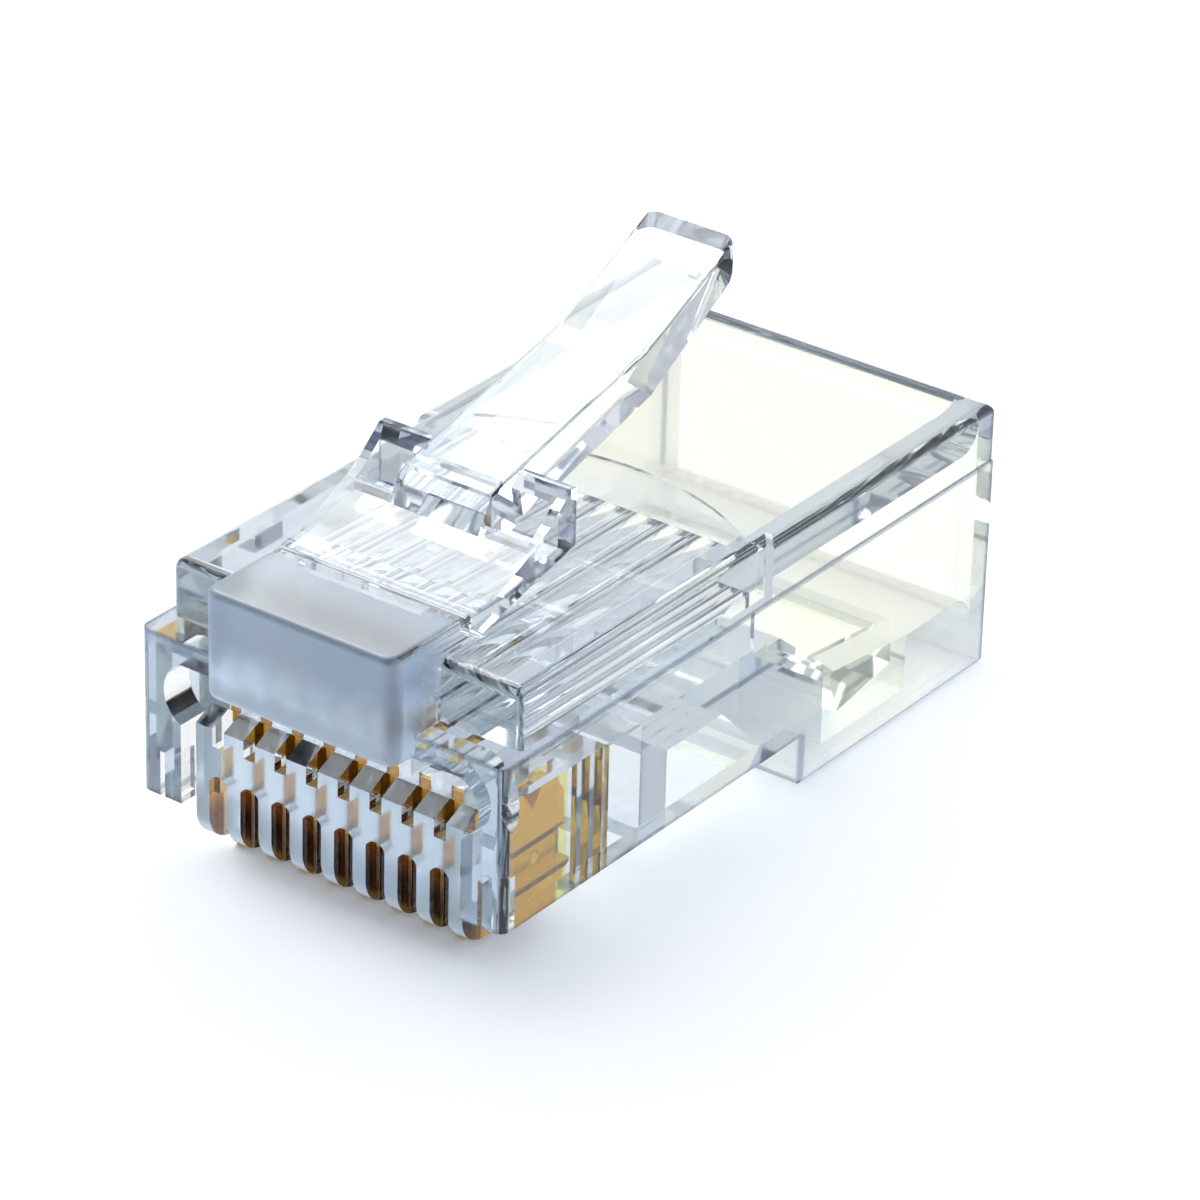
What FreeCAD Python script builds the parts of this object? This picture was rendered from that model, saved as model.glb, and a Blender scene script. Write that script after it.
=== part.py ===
"""Clear eight-way modular plug: one hollow moulding, its sprung latch and eight contact blades.

The plug points along -Y, its latch is on top and its contacts are underneath.  Heights are taken
from the plane that it rests on, and lengths from the front face of the two side columns; each
piece is then moved so that the origin lies at the bottom centre of the whole plug.
"""
import FreeCAD, Part
import os
import Sketcher

Vector = FreeCAD.Vector
ACROSS, ALONG, UP = [Vector(1, 0, 0)], [Vector(0, 1, 0)], [Vector(0, 0, 1)]

# name: (value in mm, what it measures)
SIZES = {
    # outside of the moulding
    "width": (11.68, "across the plug"),
    "rear": (21.5, "front face to rear face"),
    "top": (7.9, "rest plane to the top face"),
    "ledge": (6.2, "height of the ledge along both sides"),
    "flange": (1.5, "height of the underside of the side columns"),
    "step": (12.9, "start of the deeper rear section"),
    "upper_front": (1.0, "front face of the upper part"),
    "upper_inset": (0.3, "upper part narrower than the lower, each side, at the front"),
    "shoulder": (11.3, "where the upper part grows to nearly full width"),
    "parting_inset": (0.06, "upper part narrower than the lower, each side, at the rear"),
    "edge_round": (0.3, "rounding of the long outer edges"),
    "rim_round": (0.15, "rounding of the lower edges and of the upright corners behind the front"),
    # nose block that carries the latch
    "nose_reach": (0.9, "nose block ahead of the front face"),
    "nose_width": (6.08, "across the nose block"),
    "nose_low": (5.55, "underside of the nose block"),
    "nose_top": (8.65, "top of the nose block"),
    "nose_round": (0.45, "rounding of its upright corners"),
    "nose_edge": (0.22, "rounding of its top and bottom front edges"),
    "core_slot_width": (4.0, "moulded slot across the top of the nose block"),
    "core_slot_length": (0.36, "the same, along the plug"),
    "core_slot_depth": (0.3, "depth of that slot"),
    "core_slot_back": (0.75, "hinge axis to the middle of that slot"),
    # comb of fins between the contacts
    "comb_front": (0.36, "front of the fins"),
    "comb_width": (8.6, "across the comb"),
    "comb_low": (0.3, "lower edge of the fins"),
    "comb_top": (3.8, "top of the comb at its front"),
    "comb_rise": (0.3, "how far its top rises to the wall behind"),
    "comb_round": (0.9, "rounding of the lower front of the fins"),
    "column_gap": (0.2, "gap between the outer fin and the column"),
    "band_reach": (0.55, "how far the round ends of the band above the comb run past the fins"),
    "slit_width": (0.15, "narrow slit in each column"),
    "slit_height": (1.3, "height of that slit"),
    "slit_depth": (0.8, "depth of that slit"),
    "slit_from_side": (0.72, "outer face of the column to the middle of its slit"),
    # contacts
    "ways": (8, "number of contacts"),
    "pitch": (1.02, "contact to contact"),
    "blade": (0.34, "thickness of a blade"),
    "blade_play": (0.02, "clearance on each side of a blade"),
    "blade_front": (1.15, "front edge of a blade"),
    "blade_length": (2.4, "front edge to rear edge"),
    "blade_top": (4.35, "top of its teeth"),
    "tooth": (0.75, "length of the front tooth"),
    "tooth_gap": (0.7, "gap between the teeth"),
    "tooth_depth": (0.55, "depth of that gap"),
    "barb": (0.25, "how far the barb stands out behind the blade"),
    "barb_height": (1.75, "height of the barb"),
    "barb_inset": (0.35, "how far the neck above the barb is cut in"),
    "neck_top": (2.83, "top of that neck"),
    "toe": (0.15, "corner cut at the lower edge of a blade"),
    # contact slots
    "mouth_width": (0.6, "open front of a contact slot"),
    "mouth_top": (2.45, "top of that opening"),
    "mouth_arch": (0.2, "rise of its round top"),
    "vent_low": (3.3, "lower edge of the small vent above it"),
    # wire channels
    "channel_width": (0.86, "across a wire channel"),
    "channel_low": (4.45, "floor of the wire channels"),
    "channel_high": (6.15, "crown of the wire channels"),
    "channel_crown": (0.25, "rise of the crown"),
    "channel_front": (1.9, "front end of the wire channels"),
    "channel_back": (11.3, "rear end of the wire channels"),
    # cavity for the cable jacket
    "ceiling": (6.4, "ceiling of the cable cavity"),
    "cavity_width": (9.0, "across the cable cavity"),
    "throat_side": (11.8, "front edge of the cavity at the side walls"),
    "throat_bow": (1.4, "how far that edge bows back in the middle"),
    "ramp_foot": (15.0, "foot of the ramp up to the channels"),
    "ramp_head": (12.4, "head of that ramp"),
    "floor_front": (2.35, "cavity floor at the foot of the ramp"),
    "floor": (1.98, "cavity floor at the rear"),
    "floor_bend": (18.5, "where the floor becomes level"),
    "mouth_round": (0.75, "rounding of the cable entry"),
    # wire anchor recess, open underneath
    "anchor_front": (5.1, "front wall of the recess"),
    "bar_front": (6.45, "front of the wire anchor bar"),
    "bar_back": (7.6, "back of the wire anchor bar"),
    "bar_low": (1.0, "lower face of that bar"),
    "recess_top": (3.2, "top of the recess behind the bar"),
    "recess_back": (10.0, "where the recess starts to slope down"),
    "recess_end": (12.0, "rear end of the recess"),
    "recess_foot": (1.3, "height at which that slope ends"),
    # jacket anchor window, open underneath
    "window_back": (18.9, "rear wall of the window"),
    "window_width": (7.2, "across the window"),
    "window_slit": (0.15, "slit on each side of the jacket anchor"),
    "web": (0.45, "thickness of the web that carries the jacket anchor"),
    "wedge_gap": (0.5, "gap behind the jacket anchor"),
    "wedge_low": (0.55, "lowest edge of the jacket anchor"),
    # latch
    "hinge_back": (2.5, "front face to the bending axis of the latch"),
    "knuckle": (0.35, "radius of the rounded root"),
    "root_gap": (0.03, "clearance round the root and over the top face"),
    "latch_width": (6.1, "across the wide part of the latch"),
    "ramp_start": (0.5, "bending axis to the foot of the latch ramp"),
    "ramp_end": (2.4, "bending axis to the end of the latch ramp"),
    "ramp_rise": (0.85, "rise of that ramp over the nose block"),
    "ear_back": (3.95, "bending axis to the catch face of the ears"),
    "ear_rise": (1.85, "top of the ears over the nose block"),
    "ear_flat": (0.25, "level top of an ear"),
    "under_rise": (0.95, "underside at the ears over the root"),
    "pocket_wall": (0.28, "outer wall of the pockets before the ears"),
    "pocket_length": (0.95, "length of those pockets"),
    "pocket_depth": (0.5, "their depth under the end of the ramp"),
    "lever_width": (3.25, "across the lever at its underside"),
    "lever_draft": (0.2, "how much each side of the lever leans in towards its top"),
    "lever_round": (0.15, "rounding of its two upper edges"),
    "lever_step": (0.8, "front of the lever above the ramp"),
    "lever_setback": (0.35, "how far that front leans back"),
    "lever_sink": (0.15, "how far the lever's lines reach below the end of the ramp"),
    "lever_thick": (1.15, "height of the lever's side"),
    "kink_back": (9.0, "bending axis to the kink of the lever"),
    "kink_rise": (3.15, "top of the lever at its kink over the nose block"),
    "tip_back": (12.9, "bending axis to the tip of the lever"),
    "tip_rise": (5.0, "top of the tip over the nose block"),
    "tip_thick": (0.7, "thickness at the tip"),
    "tip_round": (0.6, "rounding of the tip's corners"),
}

doc = FreeCAD.newDocument("modular_plug")


def make_sheet():
    """Write every size into the spreadsheet, with its name as the alias of its cell."""
    table = doc.addObject("Spreadsheet::Sheet", "size")
    for row, (name, (value, note)) in enumerate(SIZES.items(), start=1):
        table.set(f"A{row}", name)
        table.set(f"B{row}", str(value))
        table.set(f"C{row}", note)
        table.setAlias(f"B{row}", name)
    doc.recompute()
    return table


sheet = make_sheet()


def sized(text):
    """Turn an expression over the size names into one that any object of the document can hold."""
    words = text.replace("(", " ( ").replace(")", " ) ").split()
    return " ".join(f"size.{word}" if word in SIZES else word for word in words)


def value(text):
    """Work out an expression over the size names, in millimetres."""
    return float(sheet.evalExpression(sized(text)))


def bind(target, prop, text):
    """Tie a property of an object to an expression over the size names."""
    target.setExpression(prop, sized(text))


def new_body(label):
    """Start a sub-part, moved so that the plug's bottom centre is the origin."""
    body = doc.addObject("PartDesign::Body", label)
    body.Label = label
    bind(body, "Placement.Base.y", "( nose_reach - rear ) / 2")
    return body


def sketch_on(body, name, role, offset="0"):
    """Attach a sketch to one of the body's own origin planes, moved along its normal."""
    sketch = body.newObject("Sketcher::SketchObject", name)
    plane = [item for item in body.Origin.OriginFeatures if item.Role == role][0]
    sketch.AttachmentSupport = [(plane, "")]
    sketch.MapMode = "FlatFace"
    bind(sketch, "AttachmentOffset.Base.z", offset)
    return sketch


def outline(sketch, corners):
    """Close a profile through corners (x, y), each bound to the sheet.

    A corner (x, y, radius, (mx, my)) starts an arc of that radius, counter-clockwise, by way of about (mx, my).
    """
    points = [Vector(value(corner[0]), value(corner[1]), 0) for corner in corners]
    following = points[1:] + points[:1]
    for corner, start, end in zip(corners, points, following):
        if len(corner) == 2:
            sketch.addGeometry(Part.LineSegment(start, end), False)
        else:
            middle = Vector(value(corner[3][0]), value(corner[3][1]), 0)
            sketch.addGeometry(Part.Arc(start, middle, end), False)
    starts = [which_end(edge, point) for edge, point in zip(sketch.Geometry, points)]
    count = len(corners)
    for number, corner in enumerate(corners):
        after = (number + 1) % count
        sketch.addConstraint(Sketcher.Constraint("Coincident", number, 3 - starts[number], after, starts[after]))
        hold(sketch, ("DistanceX", -1, 1, number, starts[number]), corner[0])
        hold(sketch, ("DistanceY", -1, 1, number, starts[number]), corner[1])
    for number, corner in enumerate(corners):
        if len(corner) == 4:
            hold(sketch, ("Radius", number), corner[2])


def which_end(edge, point):
    """Say which end of an edge lies at a point: 1 is its start and 2 its end."""
    return 1 if edge.StartPoint.distanceToPoint(point) < edge.EndPoint.distanceToPoint(point) else 2


def hold(sketch, place, text):
    """Add one dimension to a sketch, bound to the sheet."""
    number = sketch.addConstraint(Sketcher.Constraint(*place, value(text)))
    bind(sketch, f"Constraints[{number}]", text)


def circle(sketch, across_place, up_place, radius):
    """Draw one circle, with its centre and radius bound to the sheet."""
    centre = Vector(value(across_place), value(up_place), 0)
    sketch.addGeometry(Part.Circle(centre, Vector(0, 0, 1), value(radius)), False)
    hold(sketch, ("DistanceX", -1, 1, 0, 3), across_place)
    hold(sketch, ("DistanceY", -1, 1, 0, 3), up_place)
    hold(sketch, ("Radius", 0), radius)


def finish_feature(body, kind, name, sketch, length, symmetric, reverse):
    """Pad or pocket a sketch, and make sure that it added or removed something."""
    before = body.Tip.Shape.Volume if body.Tip else 0.0
    feature = body.newObject(f"PartDesign::{kind}", name)
    feature.Profile = (sketch, [""])
    feature.SideType = "Symmetric" if symmetric else "One side"
    feature.Reversed = reverse
    bind(feature, "Length", length)
    sketch.Visibility = False
    doc.recompute()
    change = feature.Shape.Volume - before
    if abs(change) < 1e-3 or (change > 0) != (kind == "Pad"):
        raise RuntimeError(f"{name} changes the volume by {change:.3f}")
    return feature


def across(body, kind, name, corners, width, offset="0"):
    """Carry a side profile (y, z) across the plug, half of the width to each side of the offset."""
    sketch = sketch_on(body, f"{name}_profile", "YZ_Plane", offset)
    outline(sketch, corners)
    return finish_feature(body, kind, name, sketch, width, True, False)


def upward(body, kind, name, corners, low, height):
    """Carry a plan (x, y) up from a height."""
    sketch = sketch_on(body, f"{name}_plan", "XY_Plane", low)
    outline(sketch, corners)
    return finish_feature(body, kind, name, sketch, height, False, kind == "Pocket")


def backward(body, kind, name, corners, front, length):
    """Carry a front view (x, z) backwards from a distance behind the front face."""
    sketch = sketch_on(body, f"{name}_view", "XZ_Plane", f"0 - ( {front} )")
    outline(sketch, corners)
    return finish_feature(body, kind, name, sketch, length, False, kind == "Pad")


def rectangle(left, right, low, high):
    """Give the corners of a rectangle between four expressions."""
    return [(left, low), (right, low), (right, high), (left, high)]


def bulge(half, rise):
    """Give the radius of an arc from half of its chord and its rise."""
    return f"( {half} * {half} + {rise} * {rise} ) / ( 2 * {rise} )"


def repeat_ways(body, name, features, axis):
    """Repeat cuts made for the first way over all the ways, one pitch apart along a sketch axis."""
    pattern = body.newObject("PartDesign::LinearPattern", name)
    pattern.Originals = features
    pattern.Direction = (features[0].Profile[0], [axis])
    pattern.Mode = "Extent"
    bind(pattern, "Length", "pitch * ( ways - 1 )")
    bind(pattern, "Occurrences", "ways")
    body.Tip = pattern
    doc.recompute()
    return pattern


def round_edges(body, name, radius, directions, wanted):
    """Round the straight edges of the body's tip that run along given axes and pass a test at both ends."""
    base = body.Tip
    names = []
    for number, edge in enumerate(base.Shape.Edges, start=1):
        ends = [vertex.Point for vertex in edge.Vertexes]
        if len(ends) == 2 and runs_along(ends[1] - ends[0], directions) and all(map(wanted, ends)):
            names.append(f"Edge{number}")
    if not names:
        raise RuntimeError(f"{name} finds no edge")
    fillet = body.newObject("PartDesign::Fillet", name)
    fillet.Base = (base, names)
    bind(fillet, "Radius", radius)
    doc.recompute()
    if fillet.Shape.isNull() or not fillet.Shape.isValid():
        raise RuntimeError(f"{name} cannot be rounded")
    return fillet


def runs_along(line, directions):
    """Say whether a vector runs within some twenty degrees of one of the given axes, either way."""
    return any(abs(line * direction) > 0.94 * line.Length for direction in directions)


def near(number, text):
    """Compare a coordinate with an expression over the size names."""
    return abs(number - value(text)) < 1e-4


FIRST_WAY = "0 - pitch * ( ways - 1 ) / 2"
AXIS_HEIGHT = "top + root_gap + knuckle"


def shell_outside(body):
    """Make the solid outer form: lower part, upper part and nose block, with their edges rounded."""
    across(body, "Pad", "lower_part", [
        ("0", "flange"), ("step", "flange"), ("step", "0"),
        ("rear", "0"), ("rear", "ledge"), ("0", "ledge")], "width")
    round_edges(body, "front_corners", "edge_round", UP, lambda p: near(p.y, "0"))
    round_edges(body, "lower_rims", "rim_round", ALONG, lambda p: near(p.z, "0"))
    front_half, rear_half = "( width / 2 - upper_inset )", "( width / 2 - parting_inset )"
    upward(body, "Pad", "upper_part", [
        (f"0 - {front_half}", "upper_front"), (front_half, "upper_front"),
        (front_half, "shoulder"), (rear_half, "shoulder"),
        (rear_half, "rear"), (f"0 - {rear_half}", "rear"),
        (f"0 - {rear_half}", "shoulder"), (f"0 - {front_half}", "shoulder")], "ledge", "top - ledge")
    round_edges(body, "upper_corners", "rim_round", UP, lambda p: near(p.y, "upper_front"))
    round_edges(body, "top_edges", "edge_round", ALONG + ACROSS,
                lambda p: near(p.z, "top") and abs(p.x) > value("nose_width / 2"))


def nose_block(body):
    """Add the block that carries the latch, with a round socket for the latch's root behind it."""
    across(body, "Pad", "nose", [
        ("0 - nose_reach", "nose_low"), ("upper_front", "nose_low"), ("upper_front", "ledge"),
        ("hinge_back", "ledge"), ("hinge_back", "nose_top"), ("0 - nose_reach", "nose_top")], "nose_width")
    round_edges(body, "nose_corners", "nose_round", UP, lambda p: near(p.y, "0 - nose_reach")
                and near(abs(p.x), "nose_width / 2"))
    for name, level in (("nose_top_edge", "nose_top"), ("nose_low_edge", "nose_low")):
        round_edges(body, name, "nose_edge", ACROSS, lambda p: near(p.z, level) and near(p.y, "0 - nose_reach"))
    sketch = sketch_on(body, "root_socket_profile", "YZ_Plane")
    circle(sketch, "hinge_back", AXIS_HEIGHT, "knuckle + root_gap")
    finish_feature(body, "Pocket", "root_socket", sketch, "nose_width", True, False)
    across(body, "Pocket", "core_slot", rectangle(
        "hinge_back - core_slot_back - core_slot_length / 2", "hinge_back - core_slot_back + core_slot_length / 2",
        "nose_top - core_slot_depth", "nose_top"), "core_slot_width")


def comb(body):
    """Open the front between the two columns, and stand the comb of fins in the opening."""
    gap_half = "( comb_width / 2 + column_gap )"
    band_half, band_middle = f"( {gap_half} + band_reach )", "( comb_top + nose_low ) / 2"
    band_end = bulge("( ( nose_low - comb_top ) / 2 )", "band_reach")
    upward(body, "Pocket", "front_opening",
           rectangle(f"0 - {gap_half}", gap_half, "0", "upper_front"), "flange", "nose_low - flange")
    backward(body, "Pocket", "band", [
        (f"0 - {gap_half}", "comb_top"), (gap_half, "comb_top", band_end, (band_half, band_middle)),
        (gap_half, "nose_low"), (f"0 - {gap_half}", "nose_low", band_end, (f"0 - {band_half}", band_middle))],
        "0", "upper_front")
    across(body, "Pad", "comb_block", [
        ("comb_front", "comb_low"), ("step", "comb_low"), ("step", "comb_top"), ("upper_front", "comb_top"),
        ("upper_front", "comb_top + comb_rise"), ("comb_front", "comb_top")], "comb_width")
    round_edges(body, "comb_nose", "comb_round", ACROSS,
                lambda p: near(p.y, "comb_front") and near(p.z, "comb_low"))
    middle = "( width / 2 - slit_from_side )"
    for name, left, right in (("left_slit", f"0 - {middle} - slit_width / 2", f"slit_width / 2 - {middle}"),
                              ("right_slit", f"{middle} - slit_width / 2", f"{middle} + slit_width / 2")):
        upward(body, "Pocket", name, rectangle(left, right, "0", "slit_depth"), "flange", "slit_height")


def contact_slots(body):
    """Cut the slots that hold the contacts, their open mouths, the small vents and the wire channels."""
    slot_width = "blade + 2 * blade_play"
    slot = across(body, "Pocket", "contact_slot", rectangle(
        "blade_front - blade_play", "blade_front + blade_length + barb + blade_play", "0", "channel_low"),
        slot_width, FIRST_WAY)
    left, right = f"{FIRST_WAY} - mouth_width / 2", f"{FIRST_WAY} + mouth_width / 2"
    mouth = backward(body, "Pocket", "slot_mouth", [
        (left, "0"), (right, "0"), (right, "mouth_top - mouth_arch", bulge("( mouth_width / 2 )", "mouth_arch"),
        (FIRST_WAY, "mouth_top")), (left, "mouth_top - mouth_arch")], "0", "blade_front")
    vent = across(body, "Pocket", "vent", rectangle("0", "blade_front", "vent_low", "comb_top + comb_rise"),
                  slot_width, FIRST_WAY)
    repeat_ways(body, "all_slots", [slot, mouth, vent], "N_Axis")


def wire_channels(body):
    """Cut the round-topped channels that lead each wire over its contact."""
    half = "channel_width / 2"
    middle = "pitch * ( ways - 1 ) / 2"
    left, right = f"0 - {middle} - {half}", f"0 - {middle} + {half}"
    channel = backward(body, "Pocket", "channel", [
        (left, "channel_low"), (right, "channel_low"),
        (right, "channel_high - channel_crown", bulge(f"( {half} )", "channel_crown"),
         (f"0 - {middle}", "channel_high")),
        (left, "channel_high - channel_crown")], "channel_front", "channel_back - channel_front")
    repeat_ways(body, "all_channels", [channel], "H_Axis")


def cable_cavity(body):
    """Hollow out the rear for the cable jacket, with a curved throat and a ramp up to the channels."""
    half = "( cavity_width / 2 )"
    upward(body, "Pocket", "throat", [
        (half, "throat_side", bulge(half, "throat_bow"), ("0", "throat_side + throat_bow")),
        (f"0 - {half}", "throat_side"), (f"0 - {half}", "rear"), (half, "rear")],
        "channel_low", "ceiling - channel_low")
    across(body, "Pocket", "wire_guide", [
        ("channel_back", "channel_low"), ("ramp_foot", "channel_low"), ("ramp_foot", "channel_high"),
        ("channel_back", "channel_high")], "comb_width")
    across(body, "Pocket", "cavity", [
        ("rear", "floor"), ("rear", "channel_low"), ("ramp_head", "channel_low"),
        ("ramp_foot", "floor_front"), ("floor_bend", "floor")], "cavity_width")
    round_edges(body, "cable_mouth", "mouth_round", ACROSS, lambda p: near(p.y, "rear")
                and abs(p.x) < value("cavity_width / 2") + 1e-4
                and value("floor") - 1e-4 < p.z < value("ceiling") + 1e-4)


def anchor_recess(body):
    """Open the underside round the wire anchor bar."""
    across(body, "Pocket", "wire_anchor_recess", [
        ("anchor_front", "0"), ("anchor_front", "channel_low"), ("bar_front", "channel_low"),
        ("bar_front", "bar_low"), ("bar_back", "bar_low"), ("bar_back", "recess_top"),
        ("recess_back", "recess_top"), ("recess_end", "recess_foot"), ("recess_end", "0")], "comb_width")


def anchor_window(body):
    """Open the window under the cavity, and leave the jacket anchor hanging in it by its web."""
    across(body, "Pocket", "jacket_anchor_window", [
        ("ramp_foot", "0"), ("ramp_foot", "floor_front - web"), ("ramp_foot + web", "floor_front - web"),
        ("ramp_foot + 2 * web", "wedge_low"), ("window_back - wedge_gap", "wedge_low + web"),
        ("window_back - wedge_gap", "floor_front"), ("window_back", "floor_front"),
        ("window_back", "0")], "window_width")
    for name, left, right in (("left_window_slit", "0 - window_width / 2", "window_slit - window_width / 2"),
                              ("right_window_slit", "window_width / 2 - window_slit", "window_width / 2")):
        upward(body, "Pocket", name, rectangle(left, right, "ramp_foot", "window_back"), "0", "floor_front")


def make_housing():
    """Build the clear moulding."""
    body = new_body("housing")
    shell_outside(body)
    nose_block(body)
    comb(body)
    wire_channels(body)
    cable_cavity(body)
    anchor_recess(body)
    contact_slots(body)
    anchor_window(body)
    return body


def blade_corners():
    """Give the side profile of a contact: two teeth at the top, a barb behind, a square toe in front."""
    back = "blade_front + blade_length"
    return [
        ("blade_front + toe", "0"), (f"{back} - toe", "0"), (back, "barb_height - barb"),
        (f"{back} + barb", "barb_height - barb / 2"), (f"{back} + barb", "barb_height"),
        (f"{back} - barb_inset", "barb_height"), (f"{back} - barb_inset", "neck_top"),
        (back, "neck_top"), (back, "blade_top - tooth_depth"), (f"{back} - tooth / 2", "blade_top"),
        ("blade_front + tooth + tooth_gap", "blade_top"),
        ("blade_front + tooth + tooth_gap / 2", "blade_top - tooth_depth"),
        ("blade_front + tooth", "blade_top"), ("blade_front", "blade_top"), ("blade_front", "toe")]


def make_contacts():
    """Build the row of contact blades, one piece for each way."""
    bodies = []
    for number in range(int(value("ways"))):
        body = new_body(f"contact_{number + 1}")
        across(body, "Pad", f"blade_{number + 1}", blade_corners(), "blade",
               f"{FIRST_WAY} + pitch * {number}")
        bodies.append(body)
    return bodies


def make_latch():
    """Build the latch: a round root, a ramped wide part with two ears, and the kinked lever."""
    body = new_body("latch")
    foot, end = "( hinge_back + ramp_start )", "( hinge_back + ramp_end )"
    ear, ramp_top = "( hinge_back + ear_back )", "( nose_top + ramp_rise )"
    across(body, "Pad", "wide_part", [
        ("hinge_back", "top + root_gap"), (ear, "top + root_gap + under_rise"), (ear, "nose_top + ear_rise"),
        (f"{ear} - ear_flat", "nose_top + ear_rise"), (f"{end} + pocket_length / 2", f"{ramp_top} + edge_round"),
        (end, ramp_top), (foot, "nose_top"), ("hinge_back", "nose_top - root_gap")], "latch_width")
    sketch = sketch_on(body, "root_profile", "YZ_Plane")
    circle(sketch, "hinge_back", AXIS_HEIGHT, "knuckle")
    finish_feature(body, "Pad", "root", sketch, "latch_width", True, False)
    pocket_half = "( latch_width / 2 - pocket_wall )"
    upward(body, "Pocket", "pockets", rectangle(f"0 - {pocket_half}", pocket_half, end, f"{end} + pocket_length"),
           f"{ramp_top} - pocket_depth", "ear_rise")
    across(body, "Pad", "lever_front", [
        (f"{end} - lever_setback", f"{ramp_top} - pocket_depth"),
        (f"{end} + lever_setback / 2", f"{ramp_top} - pocket_depth"),
        (f"{end} + lever_setback / 2", f"{ramp_top} + lever_step"),
        (f"{end} - lever_setback", f"{ramp_top} - lever_sink")], "lever_width - 2 * lever_draft")
    lever(body, end, ramp_top)
    return body


def lever(body, end, ramp_top):
    """Loft the lever through upright sections at its front, its kink and its tip, narrower at the top."""
    kink_top, tip_top = "nose_top + kink_rise", "nose_top + tip_rise"
    stations = [
        (f"{end} + lever_setback / 2", f"{ramp_top} - pocket_depth", f"{ramp_top} + lever_step"),
        ("hinge_back + kink_back", f"{kink_top} - lever_thick", kink_top),
        ("hinge_back + tip_back", f"{tip_top} - tip_thick", tip_top)]
    sections = []
    for number, (back, low, high) in enumerate(stations, start=1):
        section = sketch_on(body, f"lever_section_{number}", "XZ_Plane", f"0 - ( {back} )")
        foot, head = "( lever_width / 2 )", "( lever_width / 2 - lever_draft )"
        near_side, near_top = f"{head} - lever_round * 0.3", f"{high} - lever_round * 0.3"
        outline(section, [
            (f"0 - {foot}", low), (foot, low),
            (head, f"{high} - lever_round", "lever_round", (near_side, near_top)), (f"{head} - lever_round", high),
            (f"lever_round - {head}", high, "lever_round", (f"0 - ( {near_side} )", near_top)),
            (f"0 - {head}", f"{high} - lever_round")])
        section.Visibility = False
        sections.append(section)
    loft = body.newObject("PartDesign::AdditiveLoft", "lever")
    loft.Profile, loft.Sections, loft.Ruled = (sections[0], [""]), sections[1:], True
    doc.recompute()
    tip, half = "hinge_back + tip_back", "lever_width / 2"
    for name, corners in (
            ("right_tip_corner", [
                (half, f"{tip} - tip_round", "tip_round", (f"{half} - tip_round * 0.3", f"{tip} - tip_round * 0.3")),
                (f"{half} - tip_round", tip), (f"{half} - tip_round", f"{tip} + tip_round"),
                (f"{half} + tip_round", f"{tip} + tip_round"), (f"{half} + tip_round", f"{tip} - tip_round")]),
            ("left_tip_corner", [
                (f"tip_round - {half}", tip, "tip_round", (f"tip_round * 0.3 - {half}", f"{tip} - tip_round * 0.3")),
                (f"0 - {half}", f"{tip} - tip_round"), (f"0 - {half} - tip_round", f"{tip} - tip_round"),
                (f"0 - {half} - tip_round", f"{tip} + tip_round"), (f"tip_round - {half}", f"{tip} + tip_round")])):
        upward(body, "Pocket", name, corners, "nose_top", "2 * tip_rise")


def check_objects():
    """Stop if an object of the document has failed, or if a sub-part is not one valid solid."""
    failed = [item.Label for item in doc.Objects if {"Invalid", "Error"} & set(item.State)]
    if failed:
        raise RuntimeError(f"failed: {failed}")
    for part in parts:
        if part.Shape.isNull() or not part.Shape.isValid() or len(part.Shape.Solids) != 1:
            raise RuntimeError(f"{part.Label} is not one valid solid")


housing = make_housing()
contacts = make_contacts()
latch = make_latch()
parts = [housing, latch] + contacts
doc.recompute()
check_objects()
os.makedirs("parts", exist_ok=True)
for part in parts:
    part.Shape.exportStep(f"parts/{part.Label}.step")
    box = part.Shape.BoundBox
    print(part.Label, f"{part.Shape.Volume:.2f} mm3, {box.XLength:.2f} x {box.YLength:.2f} x {box.ZLength:.2f} mm")
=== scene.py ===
# %% [markdown]
# Modular plug: a lesson in rendering a small clear moulding with metal contacts.
# The real plug is one injection moulding of clear polycarbonate, with a bent latch moulded on top and
# eight gold-plated blades pressed into slots in its nose.  All its forms come as solids from the packed
# model, in metres and in the plug's own frame: -Y is the nose, +Y the cable entry, +Z the latch.
# They could be modelled again here, but their sizes would drift, so this lesson only gives them
# finishes, a floor, light and a camera.

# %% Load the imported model
import bpy
import numpy as np
from mathutils import Matrix, Vector

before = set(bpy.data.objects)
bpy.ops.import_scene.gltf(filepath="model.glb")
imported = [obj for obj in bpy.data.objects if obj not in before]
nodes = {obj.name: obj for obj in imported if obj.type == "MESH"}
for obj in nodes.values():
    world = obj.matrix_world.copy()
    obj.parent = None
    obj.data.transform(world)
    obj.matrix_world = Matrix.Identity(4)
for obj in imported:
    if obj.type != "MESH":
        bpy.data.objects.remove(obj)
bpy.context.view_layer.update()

print("pieces:", sorted(nodes))

# %% [markdown]
# A finish in Blender is a graph of nodes: each node works out a number, a colour or a vector, and hands
# it on.  The graphs below repeat two moves, which are to add a node and to give its inputs.  One helper
# does both, and takes a plain value or another node's output for any input.

# %% A helper that adds a node
def give(tree, socket, value):
    """Link a node's output to an input socket, or set the socket to a plain value."""
    if isinstance(value, bpy.types.NodeSocket):
        tree.links.new(value, socket)
    else:
        socket.default_value = value


def add(tree, kind, *values, **named):
    """Add a node; give its inputs by order, or by name with _ for each blank."""
    node = tree.nodes.new(f"ShaderNode{kind}")
    for socket, value in zip(node.inputs, values):
        give(tree, socket, value)
    for name, value in named.items():
        give(tree, node.inputs[name.replace("_", " ")], value)
    return node


# %% [markdown]
# A mask says where a finish holds, as a number from 0 to 1.  Masks could be painted, but arithmetic on the
# point is exact and has no seams: multiplying masks keeps where all hold, and the largest keeps where any
# one holds.  A smooth step has no corner at either end, so no border looks cut.

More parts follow.
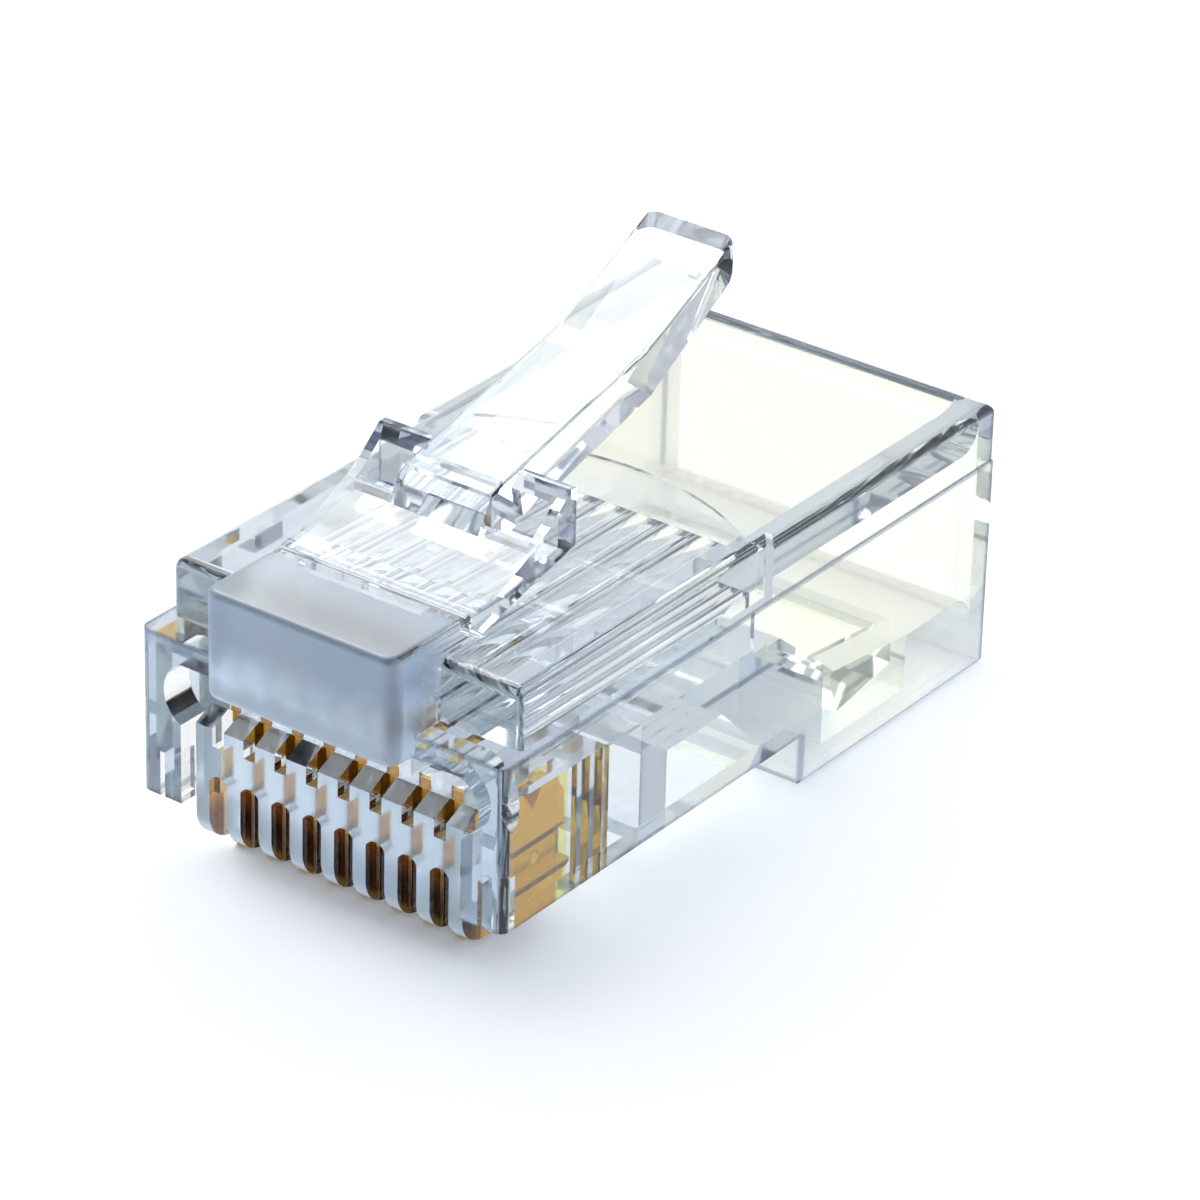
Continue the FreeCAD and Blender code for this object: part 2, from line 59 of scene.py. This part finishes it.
# %% Helpers for sums, steps and mixtures
def maths(tree, operation, *values):
    """Work on one to three numbers."""
    node = tree.nodes.new("ShaderNodeMath")
    node.operation = operation
    for socket, value in zip(node.inputs, values):
        give(tree, socket, value)
    return node.outputs[0]


def product(tree, first, *others):
    """Multiply masks together, so that all of them have to hold."""
    for other in others:
        first = maths(tree, "MULTIPLY", first, other)
    return first


def either(tree, first, *others):
    """Take the largest of some masks."""
    for other in others:
        first = maths(tree, "MAXIMUM", first, other)
    return first


def step(tree, number, low, high):
    """Go smoothly from 0 at low to 1 at high, with t*t*(3 - 2*t) between them."""
    node = add(tree, "MapRange", Value=number, From_Min=low, From_Max=high)
    node.interpolation_type = "SMOOTHSTEP"
    return node.outputs["Result"]


def between(tree, number, low, high, soft):
    """Be 1 from low to high, and fall to 0 over a soft border outside them."""
    return product(tree, step(tree, number, low - soft, low), step(tree, number, high + soft, high))


def mix(tree, factor, first, second):
    """Mix two colours by a factor."""
    node = tree.nodes.new("ShaderNodeMix")
    node.data_type = "RGBA"
    for place, value in ((0, factor), (6, first), (7, second)):
        give(tree, node.inputs[place], value)
    return node.outputs[2]


# %% [markdown]
# The plug has three finishes, and each needs the same start: a material with a Principled shader.  What the
# finishes share goes into node groups, which is how Blender keeps one graph in several materials.

# %% Helpers that start a material or a group
def new_material(name):
    """Start a material, and return it with its tree, its Principled shader and its output node."""
    material = bpy.data.materials.new(name)
    material.use_nodes = True
    tree = material.node_tree
    return material, tree, tree.nodes["Principled BSDF"], tree.nodes["Material Output"]


def new_group(name, inputs, outputs):
    """Start a shader node group with named sockets, and return it with its two ends."""
    group = bpy.data.node_groups.new(name, "ShaderNodeTree")
    for way, sockets in (("INPUT", inputs), ("OUTPUT", outputs)):
        for label, kind in sockets.items():
            group.interface.new_socket(label, in_out=way, socket_type=f"NodeSocket{kind}")
    return group, group.nodes.new("NodeGroupInput").outputs, group.nodes.new("NodeGroupOutput").inputs


def use_group(tree, group, **named):
    """Place a node group in a material, with its own values, and return its outputs."""
    node = tree.nodes.new("ShaderNodeGroup")
    node.node_tree = group
    for name, value in named.items():
        give(tree, node.inputs[name.replace("_", " ")], value)
    return node.outputs


# %% [markdown]
# The finish of a small moulding depends on the place: its nose is matt from the tool, its rear walls
# get a faint cream of painted warm light, and its edges look dark.  A painted image could say so, but
# it needs a flattened surface and blurs when it is enlarged.  Here every material reads the point itself,
# in the plug's own frame, and turns it into millimetres, so that a mask is a plain comparison with a size.

# %% Group: where a point of the plug lies
MM_PER_M = 1000.0


def make_place_group():
    """Give a point in mm, whole and split in three, and the outward direction of the surface, split."""
    group, _, out = new_group("plug_place", {}, {
        "Point": "Vector", "X": "Float", "Y": "Float", "Z": "Float",
        "Side": "Float", "Forward": "Float", "Upward": "Float"})
    here = add(group, "TexCoord").outputs
    scaled = group.nodes.new("ShaderNodeVectorMath")
    scaled.operation = "SCALE"
    give(group, scaled.inputs[0], here["Object"])
    give(group, scaled.inputs["Scale"], MM_PER_M)
    give(group, out["Point"], scaled.outputs[0])
    split = add(group, "SeparateXYZ", scaled.outputs[0]).outputs
    facing = add(group, "SeparateXYZ", here["Normal"]).outputs
    for axis in "XYZ":
        give(group, out[axis], split[axis])
    give(group, out["Side"], maths(group, "ABSOLUTE", facing["X"]))
    give(group, out["Forward"], maths(group, "MULTIPLY", facing["Y"], -1.0))
    give(group, out["Upward"], facing["Z"])
    return group


place_group = make_place_group()
print(place_group.name, "has", len(place_group.nodes), "nodes")

# %% [markdown]
# A clear box shows its edges as thin dark blue lines, because a rounded edge bends the light of a
# whole room into a few hundredths of a millimetre.  Tracing such tiny roundings takes many samples, and
# a bevel shader many rays.  This group draws the lines instead, by arithmetic: a point lies near an edge
# of a box when it is near two of the box's faces at once.

# %% Group: the edges of a box
LINE_CORE = 0.35      # share of a line's width that is fully dark
SKIN_PLAY = -0.03     # mm that a face may stand outside its box


def make_edge_group():
    """Mask the edges of a box between two corners.

    On each axis, d is the distance to the nearer face and n a smooth step from 1 at d = 0 to 0 at the
    line's width.  The mask is the middle one of the three n, and nothing outside the box.
    """
    group, given, out = new_group("box_edges", {
        "Point": "Vector", "Low": "Vector", "High": "Vector", "Width": "Float"}, {"Mask": "Float"})

    def vectors(operation, first, second):
        node = group.nodes.new("ShaderNodeVectorMath")
        node.operation = operation
        give(group, node.inputs[0], first)
        give(group, node.inputs[1], second)
        return node.outputs[0]

    away = vectors("MINIMUM", vectors("SUBTRACT", given["Point"], given["Low"]),
                   vectors("SUBTRACT", given["High"], given["Point"]))
    depth = add(group, "SeparateXYZ", away).outputs
    half = maths(group, "MULTIPLY", given["Width"], LINE_CORE)
    close = [step(group, depth[axis], given["Width"], half) for axis in "XYZ"]
    middle = either(group, maths(group, "MINIMUM", close[0], close[1]),
                    maths(group, "MINIMUM", maths(group, "MAXIMUM", close[0], close[1]), close[2]))
    least = maths(group, "MINIMUM", maths(group, "MINIMUM", depth["X"], depth["Y"]), depth["Z"])
    give(group, out["Mask"], product(group, middle, maths(group, "GREATER_THAN", least, SKIN_PLAY)))
    return group


edge_group = make_edge_group()
print(edge_group.name, "has", len(edge_group.nodes), "nodes")

# %% [markdown]
# No moulded or plated face is perfectly even.  The tool's polish varies, the plastic sinks a little as it
# cools, and handling leaves faint wear.  Both the plastic and the gold need this, so it is one group:
# a fine grain for the roughness, and slow waves for soft tints in the plastic and a bump in the gold.

# %% Group: polish and waves
def make_skin_group():
    """Give fine grain and slow waves, both fractal noise of the point in mm, each from 0 to 1."""
    group, given, out = new_group("moulded_skin", {
        "Point": "Vector", "Grain Scale": "Float", "Wave Scale": "Float"}, {
        "Grain": "Float", "Waves": "Float"})
    grain = add(group, "TexNoise", Vector=given["Point"], Scale=given["Grain Scale"], Detail=1.0)
    waves = add(group, "TexNoise", Vector=given["Point"], Scale=given["Wave Scale"], Detail=1.0)
    give(group, out["Grain"], grain.outputs[0])
    give(group, out["Waves"], waves.outputs[0])
    return group


skin_group = make_skin_group()
print(skin_group.name, "has", len(skin_group.nodes), "nodes")

# %% [markdown]
# Clear polycarbonate bends light strongly, with an index of 1.585, and has a faint blue-grey body colour
# that shows where a ray crosses much of it.  Principled's transmission gives the surface, and a volume
# absorption gives the body colour, so thick corners come out darker than thin walls by themselves.
# A solid clear object would cast a black shadow, because Cycles doesn't bend shadow rays, so shadow
# rays meet a tinted transparent shader instead.

# %% The optics shared by all the clear plastic
CLEAR_INDEX = 1.585
BODY_COLOUR = (0.50, 0.585, 0.655, 1)
BODY_DENSITY = 105.0
SHADOW_TINT = (0.955, 0.96, 0.965, 1)


def finish_clear(tree, shader, output, colour, rough):
    """Complete a clear plastic from its surface colour and roughness."""
    give(tree, shader.inputs["Base Color"], colour)
    give(tree, shader.inputs["Roughness"], rough)
    give(tree, shader.inputs["IOR"], CLEAR_INDEX)
    give(tree, shader.inputs["Transmission Weight"], 1.0)
    passing = add(tree, "BsdfTransparent", Color=SHADOW_TINT)
    is_shadow = add(tree, "LightPath").outputs["Is Shadow Ray"]
    surface = add(tree, "MixShader", is_shadow, shader.outputs[0], passing.outputs[0])
    give(tree, output.inputs["Surface"], surface.outputs[0])
    body = add(tree, "VolumeAbsorption", Color=BODY_COLOUR, Density=BODY_DENSITY)
    give(tree, output.inputs["Volume"], body.outputs[0])


print("index of refraction:", CLEAR_INDEX)

# %% [markdown]
# The housing is bright and smooth, except at the nose.  Its front face, and the comb of fins between
# the contacts, come frosted from a spark-eroded part of the tool, and their bluish tone is painted light.
# The rear, with its thin walls, is painted a slight cream of warm light.  Each of these is a mask from the
# point and the direction of the face.

# %% Where the nose is frosted
FROST_START, FROST_FULL = -10.6, -10.8     # mm along Y


def nose_masks(tree, at):
    """Return the masks of the frosted nose face, its sides, its top, the front of the comb, the mouths, and
    the slot walls that get a painted gold reflection.
    """
    forward = step(tree, at["Forward"], 0.45, 0.85)
    sideways = step(tree, at["Side"], 0.6, 0.95)
    upward = step(tree, at["Upward"], 0.7, 0.95)
    face = product(tree, step(tree, at["Forward"], 0.05, 0.35),
                   step(tree, at["Y"], FROST_START, FROST_FULL))
    side = product(tree, sideways, step(tree, at["Y"], -8.6, -10.6), step(tree, at["Z"], 5.4, 5.7))
    top = product(tree, upward, step(tree, at["Y"], -8.4, -8.8), step(tree, at["Z"], 8.5, 8.6))
    across = step(tree, maths(tree, "ABSOLUTE", at["X"]), 4.36, 4.32)
    low = step(tree, at["Z"], 4.2, 4.1)
    lower_faces = either(tree, forward, step(tree, at["Upward"], -0.3, -0.6))
    comb = product(tree, across, low, step(tree, at["Y"], -9.2, -9.4), lower_faces)
    mouth = product(tree, across, low, sideways, step(tree, at["Z"], 2.55, 2.35),
                    between(tree, at["Y"], -9.95, -9.2, 0.1))
    # The side walls of the slots beside the blades, which get a painted gold reflection.
    slot = product(tree, step(tree, maths(tree, "ABSOLUTE", at["X"]), 3.95, 3.9), sideways,
                   between(tree, at["Y"], -9.1, -6.7, 0.1), between(tree, at["Z"], 0.2, 4.35, 0.1))
    return {"face": face, "side": side, "top": top, "comb": comb, "mouth": mouth, "slot": slot,
            "forward": forward, "sideways": sideways}


print("the nose face is frosted from y =", FROST_FULL, "mm forward")

# %% [markdown]
# One moulding has one colour, but it doesn't look so: thick corners and low flanks gather blue-grey, the
# thin rear looks cream, and the slots take on the gold beside them.  Bending light shows much of this by
# itself, and these tints are painted light and shade that add what a short light path leaves out: painted
# blue-grey shade in the corners, on the low flanks and on the front, painted warm light on the rear, a
# painted gold reflection in the slots and painted shade in the mouths.  The slow waves make the two low
# tints uneven, so that they look like depth and not like paint.

# %% The housing's tints of painted light and shade
CREAM_START, CREAM_FULL = 0.5, 3.0         # mm along Y


def housing_colour(tree, at, masks, frost, skin):
    """Tint the clear surface by place with painted light and shade: bluish in front, cream behind, frosted
    nose, dark mouths.
    """
    # Painted warm light: the rear is painted cream, and the front a faint blue.
    rear = step(tree, at["Y"], CREAM_START, CREAM_FULL)
    tint = mix(tree, rear, (0.975, 0.985, 1.0, 1), (0.995, 0.985, 0.885, 1))
    # Painted blue shade on the forward faces of the columns, below the ledge at the front.
    column = product(tree, masks["forward"], step(tree, at["Z"], 6.2, 6.1), step(tree, at["Y"], -10.0, -10.2))
    tint = mix(tree, column, tint, (0.62, 0.72, 0.90, 1))
    aside = maths(tree, "ABSOLUTE", at["X"])
    # A faint painted blue shade on the top front corners beside the nose block.
    brow = product(tree, step(tree, at["Z"], 6.1, 6.25), step(tree, at["Y"], -8.5, -9.2),
                   step(tree, aside, 3.0, 3.1))
    tint = mix(tree, brow, tint, (0.95, 0.97, 1.0, 1))
    # Painted blue-grey shade in the rear vertical corners, stronger from z = 6.3 mm up.
    corner = product(tree, step(tree, aside, 4.9, 5.7), step(tree, at["Y"], 10.1, 11.0))
    strength = add(tree, "MapRange", at["Z"], 6.1, 6.3, 0.3, 0.8).outputs[0]
    tint = mix(tree, product(tree, corner, strength), tint, (0.42, 0.50, 0.70, 1))
    # A faint painted grey shade on side faces inside x = ±4.1 mm, from z = 4.5 to 6.1 mm.
    wall = product(tree, masks["sideways"], step(tree, aside, 4.2, 4.1),
                   between(tree, at["Y"], -8.3, 0.9, 0.1), between(tree, at["Z"], 4.5, 6.1, 0.1))
    tint = mix(tree, wall, tint, (0.90, 0.93, 0.95, 1))
    flank = product(tree, either(tree, masks["sideways"], masks["forward"]), step(tree, at["Z"], 2.05, 1.8))
    cloud = step(tree, skin["Waves"], 0.30, 0.70)
    # Painted grey shade, made uneven by the slow waves, on the low flanks over the rear bar.
    foot = product(tree, flank, step(tree, at["Y"], 8.2, 9.8),
                   maths(tree, "MULTIPLY_ADD", cloud, 0.4, 0.4))
    tint = mix(tree, foot, tint, (0.56, 0.60, 0.65, 1))
    # Painted blue reflections, made uneven by the slow waves, on the low flanks at the step.
    heel_reflection = product(tree, flank, between(tree, at["Y"], 2.4, 3.6, 1.0),
                   maths(tree, "MULTIPLY_ADD", cloud, 0.5, 0.3))
    tint = mix(tree, heel_reflection, tint, (0.52, 0.63, 0.82, 1))
    # Painted gold reflection on the slot walls.
    tint = mix(tree, masks["slot"], tint, (1.0, 0.80, 0.10, 1))
    # Painted bluish light on the frosted nose, paler below z = 5.8 mm and where the slow waves are high.
    pale = either(tree, product(tree, step(tree, skin["Waves"], 0.35, 0.65), 0.6),
                  step(tree, at["Z"], 7.1, 5.8))
    frost_blue_light = mix(tree, pale, (0.50, 0.63, 0.98, 1), (0.97, 1.0, 1.0, 1))
    tint = mix(tree, frost, tint, frost_blue_light)
    # Painted shade and gold reflection in the contact mouths: dark brown low down, amber higher up.
    mouth_shade_and_reflection = mix(tree, step(tree, at["Z"], 1.1, 2.1), (0.10, 0.035, 0.012, 1), (0.55, 0.27, 0.06, 1))
    return mix(tree, product(tree, masks["mouth"], 0.9), tint, mouth_shade_and_reflection)


print("the cream tone of the rear goes from y =", CREAM_START, "to", CREAM_FULL, "mm")

# %% [markdown]
# The housing's outline is close to a few boxes, so its edge lines are the edges of those boxes.  A box
# that reaches far past the plug on one side has no edge there, and a range on one axis keeps a line off
# the places where the real moulding has none.

# %% The housing's dark edge lines
FAR = 30.0
HOUSING_BOXES = {
    "rear and long edges": ((-5.84, -FAR, 0.0), (5.84, 11.2, 7.9), 0.20, 0.9, "Y", -FAR, FAR),
    "ledge and front corners": ((-5.84, -10.3, -FAR), (5.84, FAR, 6.2), 0.14, 0.8, "Y", -FAR, FAR),
    "foot of the columns": ((-5.84, -10.3, 1.5), (5.84, FAR, FAR), 0.14, 0.7, "Y", -FAR, 2.6),
    "step": ((-5.84, 2.6, 0.0), (5.84, FAR, FAR), 0.20, 0.8, "Z", -FAR, 1.5),
}
EDGE_COLOUR = (0.08, 0.11, 0.21, 1)


def with_edges(tree, at, colour, boxes):
    """Darken a colour along the edges of some boxes, each within a range on one axis."""
    for name, (low, high, width, weight, axis, start, end) in boxes.items():
        line = use_group(tree, edge_group, Point=at["Point"], Low=low, High=high, Width=width)["Mask"]
        if (start, end) != (-FAR, FAR):
            line = product(tree, line, between(tree, at[axis], start, end, 0.02))
        colour = mix(tree, product(tree, line, weight), colour, EDGE_COLOUR)
        print("edge lines on the", name, "are", width, "mm wide")
    return colour


# %% [markdown]
# A spark-eroded face scatters light as well as passing it, so the nose looks milky and not only blurred.
# Roughness alone gives the blur.  A rough coat over it, with a high index, gives the milky part, and is
# weaker on the top of the nose, which is seen at a low angle.  The coat's blue tint is painted bluish light.

# %% Put the housing's plastic together
FROSTED_ROUGHNESS = 0.42
TOP_COAT = 0.45       # share of the coat on the top of the nose
COAT = {"Coat Roughness": 0.55, "Coat IOR": 2.5, "Coat Tint": (0.74, 0.87, 1.0, 1)}


def make_housing_plastic():
    """Clear polycarbonate with a frosted nose, soft tints by place, and dark edges."""
    material, tree, shader, output = new_material("clear_housing")
    at = use_group(tree, place_group)
    skin = use_group(tree, skin_group, Point=at["Point"], Grain_Scale=2.5, Wave_Scale=0.55)
    masks = nose_masks(tree, at)
    frost = either(tree, masks["face"], product(tree, masks["comb"], 0.75), product(tree, masks["side"], 0.7))
    rough_top = either(tree, frost, masks["top"])
    polish = add(tree, "MapRange", skin["Grain"], 0.35, 0.7, 0.015, 0.07).outputs[0]
    rough = add(tree, "Mix", rough_top)
    give(tree, rough.inputs[2], polish)
    give(tree, rough.inputs[3], FROSTED_ROUGHNESS)
    colour = with_edges(tree, at, housing_colour(tree, at, masks, frost, skin), HOUSING_BOXES)
    give(tree, shader.inputs["Coat Weight"], either(tree, frost, product(tree, masks["top"], TOP_COAT)))
    for name, value in COAT.items():
        give(tree, shader.inputs[name], value)
    finish_clear(tree, shader, output, colour, rough.outputs[0])
    return material


housing_plastic = make_housing_plastic()
nodes["housing"].data.materials.clear()
nodes["housing"].data.materials.append(housing_plastic)
print("housing:", housing_plastic.name, "with", len(housing_plastic.node_tree.nodes), "nodes")

# %% [markdown]
# The latch is the same plastic, but thin and bright.  Its lever has faint grey flow streaks along it,
# where the melt ran towards the tip, and a slightly darker band on the flank beside its top face.
# Noise that is stretched along Y makes the streaks, and the band is a mask that narrows to the kink.

# %% The latch
def make_latch_plastic():
    """Clear polycarbonate with flow streaks along the lever, and dark edges at the two ears."""
    material, tree, shader, output = new_material("clear_latch")
    at = use_group(tree, place_group)
    skin = use_group(tree, skin_group, Point=at["Point"], Grain_Scale=2.5)
    stretched = tree.nodes.new("ShaderNodeVectorMath")
    stretched.operation = "MULTIPLY"
    give(tree, stretched.inputs[0], at["Point"])
    give(tree, stretched.inputs[1], (2.2, 0.45, 0.45))
    streak = add(tree, "TexNoise", Vector=stretched.outputs[0], Scale=1.0, Detail=2.0).outputs[0]
    on_lever = product(tree, between(tree, at["Y"], -5.0, 1.0, 0.5), step(tree, at["Upward"], 0.6, 0.9))
    streaks = product(tree, on_lever, step(tree, streak, 0.45, 0.68))
    colour = mix(tree, streaks, (0.985, 0.99, 1.0, 1), (0.84, 0.89, 0.91, 1))
    flank = maths(tree, "MULTIPLY_ADD", at["Y"], -0.085, -1.30)
    band = product(tree, on_lever, step(tree, maths(tree, "SUBTRACT", flank, at["X"]), -0.06, 0.04))
    colour = mix(tree, band, colour, (0.74, 0.82, 0.89, 1))
    ears = {"wide part": ((-3.05, -FAR, 8.6), (3.05, -3.85, 10.5), 0.16, 0.85, "Y", -FAR, FAR)}
    colour = with_edges(tree, at, colour, ears)
    polish = add(tree, "MapRange", skin["Grain"], 0.35, 0.7, 0.015, 0.06).outputs[0]
    finish_clear(tree, shader, output, colour, polish)
    return material


latch_plastic = make_latch_plastic()
nodes["latch"].data.materials.clear()
nodes["latch"].data.materials.append(latch_plastic)
print("latch:", latch_plastic.name, "with", len(latch_plastic.node_tree.nodes), "nodes")

# %% [markdown]
# The contacts are stamped from phosphor bronze and plated with gold over nickel.  Plating is a metal
# surface, so Metallic is 1 and the colour is that of the reflection.  Stamping leaves two shallow lines
# across each blade and a small dimple; the lines are painted dark as shade and the dimple is painted bright
# as a glint.  The front edges lie deep in their slots, where the gold mirrors only brown plastic and more
# gold, and that dark reflection is painted on them too.

# %% The marks on a blade
STAMPED_LINES = (2.83, 1.63)        # mm up
LINE_HALF = 0.05                    # mm, and as much again of soft border
DIMPLE_Y, DIMPLE_Z = -7.98, 2.42    # mm


def blade_marks(tree, at):
    """Return the masks of the two stamped lines across a blade and of its dimple."""
    lines = either(tree, *(between(tree, at["Z"], up - LINE_HALF, up + LINE_HALF, LINE_HALF)
                           for up in STAMPED_LINES))
    aside = maths(tree, "SUBTRACT", at["Y"], DIMPLE_Y)
    above = maths(tree, "SUBTRACT", at["Z"], DIMPLE_Z)
    away = maths(tree, "SQRT", maths(tree, "ADD", product(tree, aside, aside), product(tree, above, above)))
    return lines, step(tree, away, 0.2, 0.1)


print("the stamped lines cross each blade at z =", STAMPED_LINES, "mm")

# %% [markdown]
# Gold is warm where it mirrors light and brown where it mirrors more gold.  The fronts of the blades lie
# deep in their slots, so their colour is painted shade that darkens downward, with a painted light on
# only the lowest rim.  The relief is a bump, because a stamped line is a few hundredths of a millimetre deep.

# %% The gold plating
RELIEF = 0.00003      # m, the depth of a stamped line


def make_gold():
    """Gold plating with uneven polish, stamped lines in painted shade, a dimple with a painted glint, and
    painted shade on the front edges.
    """
    material, tree, shader, output = new_material("gold_plate")
    at = use_group(tree, place_group)
    skin = use_group(tree, skin_group, Point=at["Point"], Grain_Scale=1.2, Wave_Scale=0.8)
    lines, dimple_glint = blade_marks(tree, at)
    colour = mix(tree, skin["Grain"], (0.74, 0.43, 0.03, 1), (0.93, 0.64, 0.08, 1))
    # Painted shade in the stamped lines, and a painted glint on the dimple.
    colour = mix(tree, lines, colour, (0.20, 0.09, 0.02, 1))
    colour = mix(tree, dimple_glint, colour, (1.0, 0.86, 0.50, 1))
    # Painted shade and reflection on the blade fronts, darker downward, with painted light on the lowest rim.
    forward = step(tree, at["Forward"], 0.5, 0.9)
    deep = mix(tree, step(tree, at["Z"], 0.9, 1.9), (0.16, 0.06, 0.015, 1), (0.62, 0.30, 0.05, 1))
    deep = mix(tree, step(tree, at["Z"], 0.25, 0.5), (0.85, 0.55, 0.12, 1), deep)
    colour = mix(tree, forward, colour, deep)
    give(tree, shader.inputs["Base Color"], colour)
    give(tree, shader.inputs["Metallic"], 1.0)
    rough = add(tree, "MapRange", skin["Grain"], 0.0, 1.0, 0.18, 0.38).outputs[0]
    give(tree, shader.inputs["Roughness"], rough)
    relief = maths(tree, "SUBTRACT", product(tree, skin["Waves"], 0.1), either(tree, lines, dimple_glint))
    bump = add(tree, "Bump", Strength=1.0, Distance=RELIEF, Height=relief)
    give(tree, shader.inputs["Normal"], bump.outputs[0])
    return material


# %% [markdown]
# All eight blades come from one stamping tool and one plating bath, so they share one material.  Its
# noise reads the plug's own frame, so each blade still meets another part of it.

# %% Plate the eight contacts
gold = make_gold()
for number in range(1, 9):
    blade = nodes[f"contact_{number}"]
    blade.data.materials.clear()
    blade.data.materials.append(gold)
print("contacts:", gold.name, "with", len(gold.node_tree.nodes), "nodes")

# %% [markdown]
# A clear object is only seen by what is behind and around it, so it needs a bright ground to stand on.
# The floor is a plain pale sheet that takes the plug's shadow.  Rays from the camera, and rays that have
# gone through or off the plastic, get a little extra light from it, so that it reads as white without
# stronger lamps on the plug.  The extra light grows with the distance from the plug, so that a low view
# has no grey band where the sheet meets the sky, and the shadow near the plug stays.

# %% Floor
FLOOR_HALF = 0.6                    # m
GLOW_NEAR, GLOW_MORE = 0.14, 0.40   # extra light at the plug, and how much is added far away
GLOW_START, GLOW_END = 0.03, 0.35   # m from the plug


def seen_directly(tree):
    """Mask the rays that come from the camera, or from glass or metal."""
    path = add(tree, "LightPath").outputs
    return either(tree, path["Is Camera Ray"], path["Is Glossy Ray"], path["Is Transmission Ray"])


def make_floor(half):
    """Lay a square sheet at the plug's own rest plane."""
    mesh = bpy.data.meshes.new("floor")
    corners = half * np.array([(-1, -1, 0), (1, -1, 0), (1, 1, 0), (-1, 1, 0)], dtype=float)
    mesh.from_pydata(corners.tolist(), [], [(0, 1, 2, 3)])
    floor = bpy.data.objects.new("floor", mesh)
    bpy.context.scene.collection.objects.link(floor)
    material, tree, shader, output = new_material("white_floor")
    give(tree, shader.inputs["Base Color"], (0.97, 0.97, 0.97, 1))
    give(tree, shader.inputs["Roughness"], 0.9)
    give(tree, shader.inputs["Specular IOR Level"], 0.0)
    reach = tree.nodes.new("ShaderNodeVectorMath")
    reach.operation = "LENGTH"
    give(tree, reach.inputs[0], add(tree, "TexCoord").outputs["Object"])
    far = step(tree, reach.outputs["Value"], GLOW_START, GLOW_END)
    glow = maths(tree, "MULTIPLY_ADD", far, GLOW_MORE, GLOW_NEAR)
    lift = add(tree, "Emission", Strength=product(tree, seen_directly(tree), glow))
    both = add(tree, "AddShader", shader.outputs[0], lift.outputs[0])
    give(tree, output.inputs["Surface"], both.outputs[0])
    mesh.materials.append(material)
    return floor


floor = make_floor(FLOOR_HALF)
print("floor:", 2 * FLOOR_HALF, "m square")

# %% [markdown]
# Clear plastic in a white room all round would vanish, because every face would mirror and pass the same
# white.  A studio hangs a black card where the shiny faces look, and this world does the same: a soft dim
# patch of sky on the camera's side gives the edges and flanks something dark to show.  The sky is
# slightly weaker as a light than as a background.

# %% World
def make_world(light, shown, room, toward):
    """Light the scene with one strength of white, show another, and dim the sky round one direction."""
    world = bpy.data.worlds.new("studio")
    bpy.context.scene.world = world
    world.use_nodes = True
    tree = world.node_tree
    strength = maths(tree, "MULTIPLY_ADD", seen_directly(tree), shown - light, light)
    aim = tree.nodes.new("ShaderNodeVectorMath")
    aim.operation = "DOT_PRODUCT"
    give(tree, aim.inputs[0], add(tree, "TexCoord").outputs["Generated"])
    give(tree, aim.inputs[1], Vector(toward).normalized())
    patch = step(tree, aim.outputs["Value"], -0.3, 0.85)
    back = tree.nodes["Background"]
    give(tree, back.inputs["Color"], mix(tree, patch, (1, 1, 1, 1), (*room, 1)))
    give(tree, back.inputs["Strength"], strength)


make_world(light=0.85, shown=1.0, room=(0.11, 0.145, 0.235), toward=(0.52, -0.71, 0.48))
print("world:", bpy.context.scene.world.name)

# %% [markdown]
# One square softbox above the latch gives the long highlights on the lever and along the channels.
# A point lamp would make hard sparks in the clear walls, and a bare sky none at all.

# %% Softbox
def softbox(name, way, distance, size, glow):
    """Hang a square lamp in a direction from the plug, facing it.

    Its power is glow times pi times its area, so that glow is its brightness, where 1 is white.
    """
    data = bpy.data.lights.new(name, "AREA")
    data.shape, data.size = "SQUARE", size
    data.energy = glow * np.pi * size * size
    lamp = bpy.data.objects.new(name, data)
    way = Vector(way).normalized()
    lamp.location = way * distance + Vector((0, 0, 0.005))
    lamp.rotation_euler = way.to_track_quat("Z", "Y").to_euler()
    bpy.context.scene.collection.objects.link(lamp)
    print(name, "has", round(data.energy, 3), "W")
    return lamp


softbox("key_softbox", (-0.50, 0.20, 0.84), 0.25, 0.20, 3.9)

# %% [markdown]
# A long lens from well away keeps the plug's parallel edges nearly parallel, which suits a small product.
# The camera's three axes are written out, because it is also rolled a little about its own view.

# %% Camera
def make_camera():
    """Place the camera by its position and its right, up and backward axes, all unit vectors."""
    data = bpy.data.cameras.new("camera")
    data.lens, data.sensor_width, data.clip_start = 182.67, 36.0, 0.01
    camera = bpy.data.objects.new("camera", data)
    axes = np.array([(0.801559, 0.597442, 0.023778), (-0.301719, 0.369828, 0.878745),
                     (0.516206, -0.711541, 0.476699)])
    place = Vector((0.0828433, -0.1127243, 0.0805158))
    camera.matrix_world = Matrix.Translation(place) @ Matrix(axes.T.tolist()).to_4x4()
    bpy.context.scene.collection.objects.link(camera)
    bpy.context.scene.camera = camera
    return camera


camera = make_camera()
print("camera", round(camera.location.length, 3), "m from the plug")

# %% [markdown]
# Light in a clear comb crosses many faces before it leaves.  If paths end too soon, those faces turn
# black, so this scene allows a few more bounces than the usual dozen.  Each one costs render time.

# %% Light paths and view
scene = bpy.context.scene
scene.view_settings.view_transform = "Standard"
LONGEST_PATH, MIRRORED, SCATTERED = 15, 11, 1
scene.cycles.max_bounces = LONGEST_PATH
scene.cycles.transmission_bounces = LONGEST_PATH
scene.cycles.glossy_bounces = MIRRORED
scene.cycles.diffuse_bounces = SCATTERED
print("longest light path:", scene.cycles.max_bounces, "bounces")
